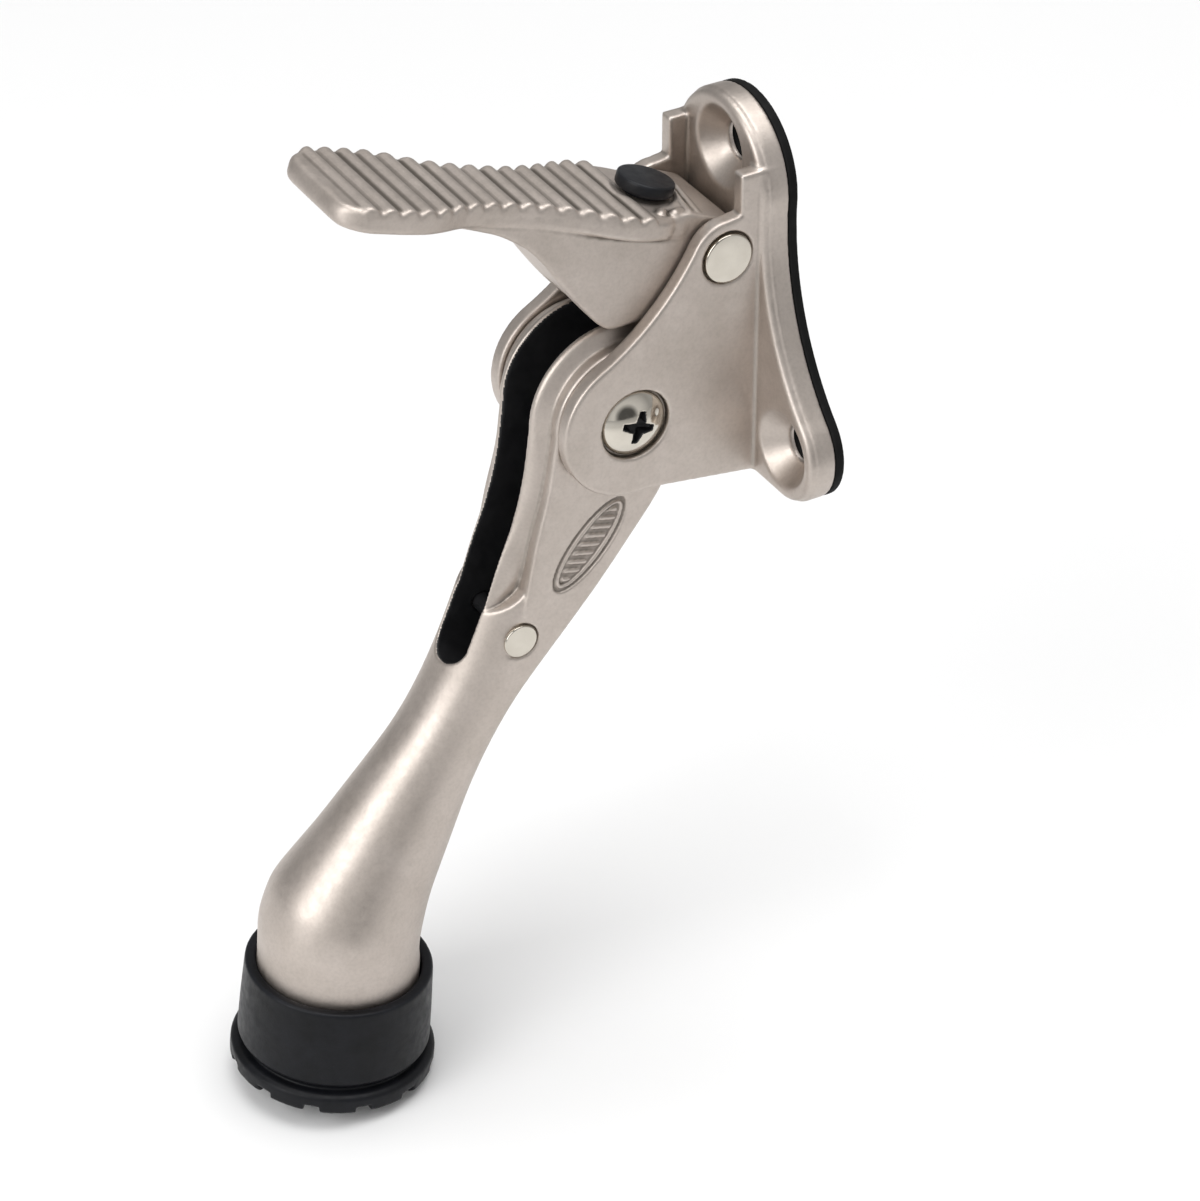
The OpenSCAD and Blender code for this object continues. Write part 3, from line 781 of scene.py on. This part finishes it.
def pedal_web(g):
    """The web under the pedal's top: hub round the rivet, and a nose down towards the arm."""
    side = outline(soften([(-17.5, 19.8), (-18, 26.3), (-16.4, 27.6), (-9.8, 30.4), (-6, 29.8), (10, 34.2),
                           (25, 38.6), (25.6, 37.2), (19, 33.9), (14.8, 30.7), (12.2, 27.6), (9.6, 23.4),
                           (6.8, 19.4), (4.2, 16), (2.6, 14.7), (0.8, 14.7), (-3.2, 15), (-7.2, 18.3),
                           (-9.5, 19.1), (-12.5, 19.1)], 1.6), g.x, g.z)
    side = np.minimum(side, y_cylinder(g, (RIVET.x, RIVET.z), 4.6))
    half = profile_at(g.x, (-30, 8.2), (-3, 8.2), (2, 8.05), (7, 7.4), (12, 6.5), (20, 6.3), (30, 7.2))
    return both(side, g.across - half, 0.5)


def foot_pedal(g):
    """A ribbed top on a web, with a bore for the rivet and room for the spring's leg."""
    s, t = local(g, RIB_START, PEDAL_SLOPE)
    plan = outline(pedal_plan(), s, g.y)
    slab = both(both(both(t, -t - PAD_T, 0.4), -s - 6.5, 1.2), s - PEDAL_END, 1.6)
    near = np.clip(np.round((s - RIB_FIRST) / RIB_PITCH), 0, RIBS - 1)
    ribs = np.hypot(s - RIB_FIRST - near * RIB_PITCH, t + RIB_SINK) - RIB_R
    top = either(both(slab, plan, 0.9), both(both(ribs, t - 1, 0.1), plan, 0.5), 0.15)
    solid = either(top, pedal_web(g), 0.35)
    for end, start, r in RIDGES:
        solid = either(solid, rod((s, g.y, t), end, start, r), 0.2)

    leg_room = outline([(-3.7, 10), (-3.7, 19.6), (-2.6, 20.6), (4.5, 20.6), (12, 17), (12, 10)], g.x, g.z)
    solid = np.maximum(solid, -np.maximum(leg_room, g.across - 3.4))
    solid = np.maximum(solid, -y_cylinder(g, (RIVET.x, RIVET.z), RIVET_R + 0.06))
    rho = np.hypot(s - BUMPER_S, g.y)
    solid = np.maximum(solid, BUMPER_STEM_R + 0.03 - rho - np.maximum(-4 - t, 0))
    return cut(solid, np.maximum(rho - BUMPER_R - 0.4, 0.3 - t), 0.15)


# Hardware ------------------------------------------------------------------------------------


def cross_recess(g):
    """The screw's cross recess: four tapered arms over a pointed floor."""
    rho = np.hypot(g.x, g.z)
    turn = math.radians(-17)
    u = np.abs(g.x * math.cos(turn) - g.z * math.sin(turn))
    v = np.abs(g.x * math.sin(turn) + g.z * math.cos(turn))
    cross = np.minimum(np.maximum(u - 2.5, v - 0.95 + 0.22 * u), np.maximum(v - 2.5, u - 0.95 + 0.22 * v))
    floor = HEAD_SEAT + HEAD_T - 2.6 + rho * 0.5 - g.y
    return both(cross, floor, 0.15)


def pivot_screw(g):
    """Truss-head screw along y with a cross recess, threaded at its far end."""
    rho = np.hypot(g.x, g.z)
    dome = (HEAD_R ** 2 + DOME_T ** 2) / (2 * DOME_T)
    top = HEAD_SEAT + HEAD_T
    head = both(np.sqrt(rho ** 2 + (g.y - top + dome) ** 2) - dome, HEAD_SEAT - g.y, 0.12)
    head = both(head, rho - HEAD_R, 0.35)
    head = cut(head, cross_recess(g), 0.12)
    shank = both(rho - SCREW_R, layer(g.y, -13.7, HEAD_SEAT + 0.1), 0.4)
    turns = (g.y / THREAD_PITCH + np.arctan2(g.z, g.x) / (2 * math.pi)) % 1
    thread = THREAD_DEPTH * np.abs(2 * turns - 1)
    shank = np.where(g.y < THREAD_START, shank + thread, shank)
    return np.minimum(head, shank)


def hex_nut(g):
    """Flanged nut on the left end of the screw."""
    rho = np.hypot(g.x, g.z)
    theta = np.arctan2(g.z, g.x) % (math.pi / 3) - math.pi / 6
    flats = rho * np.cos(theta) - 3.98
    height = np.abs(g.y + 12.9) - 1.5
    crown = (rho - 4.5 + (-g.y - 13.9)) * 0.7
    nut = both(both(flats, height, 0.15), crown, 0.1)
    flange = both(rho - 5.2, np.abs(g.y + 11.65) - 0.45, 0.2)
    return np.maximum(either(nut, flange, 0.2), SCREW_R + 0.02 - rho)


def spring_path():
    """Wire path: pin leg, coil on the bush, and the leg to the pedal's nose."""
    end_y, past_pin, leg_lean, leg_top = 2.2, 2.4, 1.9, 17
    pin = np.array(PIN)
    start, stop = math.radians(211.7), math.radians(180 - COIL_TURNS * 360)
    touch = COIL_R * np.array([math.cos(start), math.sin(start)])
    seat = pin + (PIN_R + WIRE_R + 0.05) * touch / COIL_R
    pin_end = seat + past_pin * pin / np.linalg.norm(pin)
    path = []
    for t in np.linspace(0, 1, 14):
        q = pin_end * (1 - t) + touch * t
        path.append((q[0], -end_y, q[1]))
    for t in np.linspace(0, 1, 160)[1:]:
        a = start + (stop - start) * t
        path.append((COIL_R * math.cos(a), -end_y + 2 * end_y * t, COIL_R * math.sin(a)))
    for t in np.linspace(0, 1, 10)[1:]:
        path.append((-COIL_R + leg_lean * t, end_y, leg_top * t))
    return path


# Pieces --------------------------------------------------------------------------------------

moulded("base_bracket_cast", bracket, (-25, -28, -16), (12.6, 28, 44), 0.25, "base",
        NICKEL, ["base_bracket"])
moulded("door_gasket_sheet", gasket, (-26.6, -28, -16), (-23.2, 28, 44), 0.25, "base",
        GASKET, ["door_gasket"])
arm_piece = moulded("arm_cast", arm, (-15, -13.5, -103), (60, 13.5, 15), 0.25, "arm",
                    NICKEL, ["arm"])
# The slot's walls and floor get the near-black painted shade.
shade_hollows(arm_piece, arm_slot)
moulded("foot_pedal_cast", foot_pedal, (-22.5, -11.5, 13), (49, 11.5, 51), 0.25, "pedal",
        RIBBED_NICKEL, ["foot_pedal"])
moulded("rubber_tip_cup", rubber_tip, (-17, -17, -19.5), (17, 17, 1), 0.25, "arm",
        TIP_RUBBER, ["rubber_tip"], on_tip())
screw_piece = moulded("pivot_screw_truss", pivot_screw, (-6, -15, -6), (6, 13, 6), 0.12, "base",
                      POLISHED, ["pivot_screw"])
# The cross recess gets the near-black painted shade.
shade_hollows(screw_piece, cross_recess)
moulded("pivot_nut_flanged", hex_nut, (-6, -15, -6), (6, -10.5, 6), 0.12, "base", ZINC,
        ["pivot_nut"])
turned("pedal_bumper_button", [(0, -3.6), (BUMPER_STEM_R, -3.6), (BUMPER_STEM_R, 0.3), (3.3, 0.3),
                               (3.3, 0.8), (BUMPER_R, 0.8), (BUMPER_R, 2.7), (0, 2.55)], 0.45,
       on_pedal_top(BUMPER_S), "pedal", BUMPER, ["pedal_bumper"])
turned("pedal_rivet_flat", [(0, -12.8), (3.4, -12.8), (3.4, -11.8), (RIVET_R, -11.8), (RIVET_R, RIVET_SEAT),
                            (RIVET_HEAD_R, RIVET_SEAT), (RIVET_HEAD_R, 11.5), (0, 11.5)], 0.25,
       along_y(RIVET.x, RIVET.z), "base", POLISHED, ["pedal_rivet"])
turned("rivet_washer_ring", [(RIVET_R + 0.02, -11.8), (4.4, -11.8), (4.4, -11.2), (RIVET_R + 0.02, -11.2)],
       0.12, along_y(RIVET.x, RIVET.z), "base", ZINC, ["rivet_washer"])
pin_piece = turned("spring_pin_rivet", [(0, -ARM_HALF), (PIN_R, -ARM_HALF), (PIN_R, ARM_HALF - PIN_HEAD_T),
                                        (PIN_HEAD_R, ARM_HALF - PIN_HEAD_T), (PIN_HEAD_R, ARM_HALF),
                                        (0, ARM_HALF)], 0.2,
                   along_y(*PIN), "arm", POLISHED, ["spring_pin"])
# The pin's length inside the slot gets the near-black painted shade.
shade_hollows(pin_piece, arm_slot)
turned("pivot_bush_sleeve", [(SCREW_R + 0.03, -GAP_HALF), (BUSH_R, -GAP_HALF), (BUSH_R, GAP_HALF),
                             (SCREW_R + 0.03, GAP_HALF)], 0.2,
       along_y(), "base", ZINC, ["pivot_bush"])
for side, low in (("right", GAP_HALF - WASHER_T), ("left", -GAP_HALF)):
    turned(f"washer_{side}_ring", [(BUSH_R + 0.03, low), (WASHER_R, low), (WASHER_R, low + WASHER_T),
                                   (BUSH_R + 0.03, low + WASHER_T)], 0.15,
           along_y(), "base", NYLON, [f"washer_{side}"])
tube("main_spring_wire", spring_path(), WIRE_R, "arm", SPRING_STEEL, ["main_spring"])


# Studio --------------------------------------------------------------------------------------


def paper():
    """Pale paper, greyer to the sides and ahead, as the light falls off."""
    m = Shader("paper", Roughness=0.9)
    split = m.nodes.new("ShaderNodeSeparateXYZ")
    m.links.new(m.place, split.inputs[0])
    across = m.nodes.new("ShaderNodeMath")
    across.operation = "ABSOLUTE"
    m.links.new(split.outputs["Y"], across.inputs[0])
    tone = m.ramp(m.noise(300, 2), (0.3, 0.86), (0.7, 0.88))
    for output, (near, far) in ((across.outputs[0], FADE_ACROSS), (split.outputs["X"], FADE_AHEAD)):
        fade = m.nodes.new("ShaderNodeMapRange")
        fade.interpolation_type = "SMOOTHSTEP"
        fade.inputs["From Min"].default_value = near
        fade.inputs["From Max"].default_value = far
        m.links.new(output, fade.inputs["Value"])
        tone = m.mix(fade.outputs["Result"], tone, (0.58, 0.58, 0.58))
    m.link(tone, "Base Color")
    return m.material


def add_floor(height):
    """A square floor, turned to face the camera."""
    mesh = bpy.data.meshes.new("floor")
    corners = [(-1, -1), (1, -1), (1, 1), (-1, 1)]
    mesh.from_pydata([(x * FLOOR_HALF, y * FLOOR_HALF, 0) for x, y in corners], [], [(0, 1, 2, 3)])
    floor = bpy.data.objects.new("floor", mesh)
    floor.location.z = height
    floor.rotation_euler.z = math.radians(CAMERA_ROUND)
    bpy.context.scene.collection.objects.link(floor)
    mesh.materials.append(paper())


def add_world():
    """World light: dark behind the object's left, bright ahead of it, and even overhead."""
    world = bpy.data.worlds.new("studio")
    bpy.context.scene.world = world
    world.use_nodes = True
    nodes, links = world.node_tree.nodes, world.node_tree.links
    back = nodes["Background"]
    place = nodes.new("ShaderNodeTexCoord")
    split = nodes.new("ShaderNodeSeparateXYZ")
    links.new(place.outputs["Generated"], split.inputs[0])

    def grey(output, low, *stops):
        """Grey that follows a part of the direction, from low to 1, through (place, grey) stops."""
        scale = nodes.new("ShaderNodeMapRange")
        scale.inputs["From Min"].default_value = low
        ramp = nodes.new("ShaderNodeValToRGB")
        while len(ramp.color_ramp.elements) < len(stops):
            ramp.color_ramp.elements.new(0.5)
        for element, (at, value) in zip(ramp.color_ramp.elements, stops):
            element.position = at
            element.color = (value, value, value, 1)
        links.new(output, scale.inputs["Value"])
        links.new(scale.outputs["Result"], ramp.inputs["Fac"])
        return ramp.outputs["Color"]

    blend = nodes.new("ShaderNodeMix")
    blend.data_type = "RGBA"
    level, above = (i for i in blend.inputs if i.type == "RGBA")
    links.new(grey(split.outputs["Z"], 0, (0.5, 0), (0.85, 1)), blend.inputs[0])
    links.new(grey(split.outputs["Y"], -1, *WORLD_SIDES), level)
    above.default_value = (WORLD_ABOVE, WORLD_ABOVE, WORLD_ABOVE, 1)
    links.new([o for o in blend.outputs if o.type == "RGBA"][0], back.inputs["Color"])
    back.inputs["Strength"].default_value = 1.0


def add_lamps(centre):
    """Soft rectangular lamps that face the object's centre."""
    for name, direction, roll, distance, size, power in LAMPS:
        lamp = bpy.data.lights.new(name, "AREA")
        lamp.shape = "RECTANGLE"
        lamp.size, lamp.size_y = size
        lamp.energy = power
        holder = bpy.data.objects.new(name, lamp)
        way = Vector(direction).normalized()
        holder.location = centre + way * distance
        turn = way.to_track_quat("Z", "Y").to_matrix() @ Matrix.Rotation(math.radians(roll), 3, "Z")
        holder.rotation_euler = turn.to_euler()
        bpy.context.scene.collection.objects.link(holder)


def add_camera():
    """Camera at the picture's viewing angle."""
    turned_by, raised = math.radians(CAMERA_ROUND), math.radians(CAMERA_ABOVE)
    back = Vector((math.cos(turned_by) * math.cos(raised), math.sin(turned_by) * math.cos(raised),
                   math.sin(raised)))
    right = Vector((-math.sin(turned_by), math.cos(turned_by), 0))
    up = back.cross(right)
    lens = bpy.data.cameras.new("camera")
    lens.lens = CAMERA_LENS
    lens.sensor_width = 36
    lens.clip_start = 0.01
    holder = bpy.data.objects.new("camera", lens)
    turn = Matrix((right, up, back)).transposed().to_4x4()
    holder.matrix_world = Matrix.Translation(PIVOT + Vector(CAMERA_PLACE) * MM) @ turn
    bpy.context.scene.collection.objects.link(holder)
    bpy.context.scene.camera = holder


low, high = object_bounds()
add_floor(low.z - 0.0002)
add_world()
add_lamps((low + high) / 2)
add_camera()
bpy.context.scene.view_settings.view_transform = "Standard"
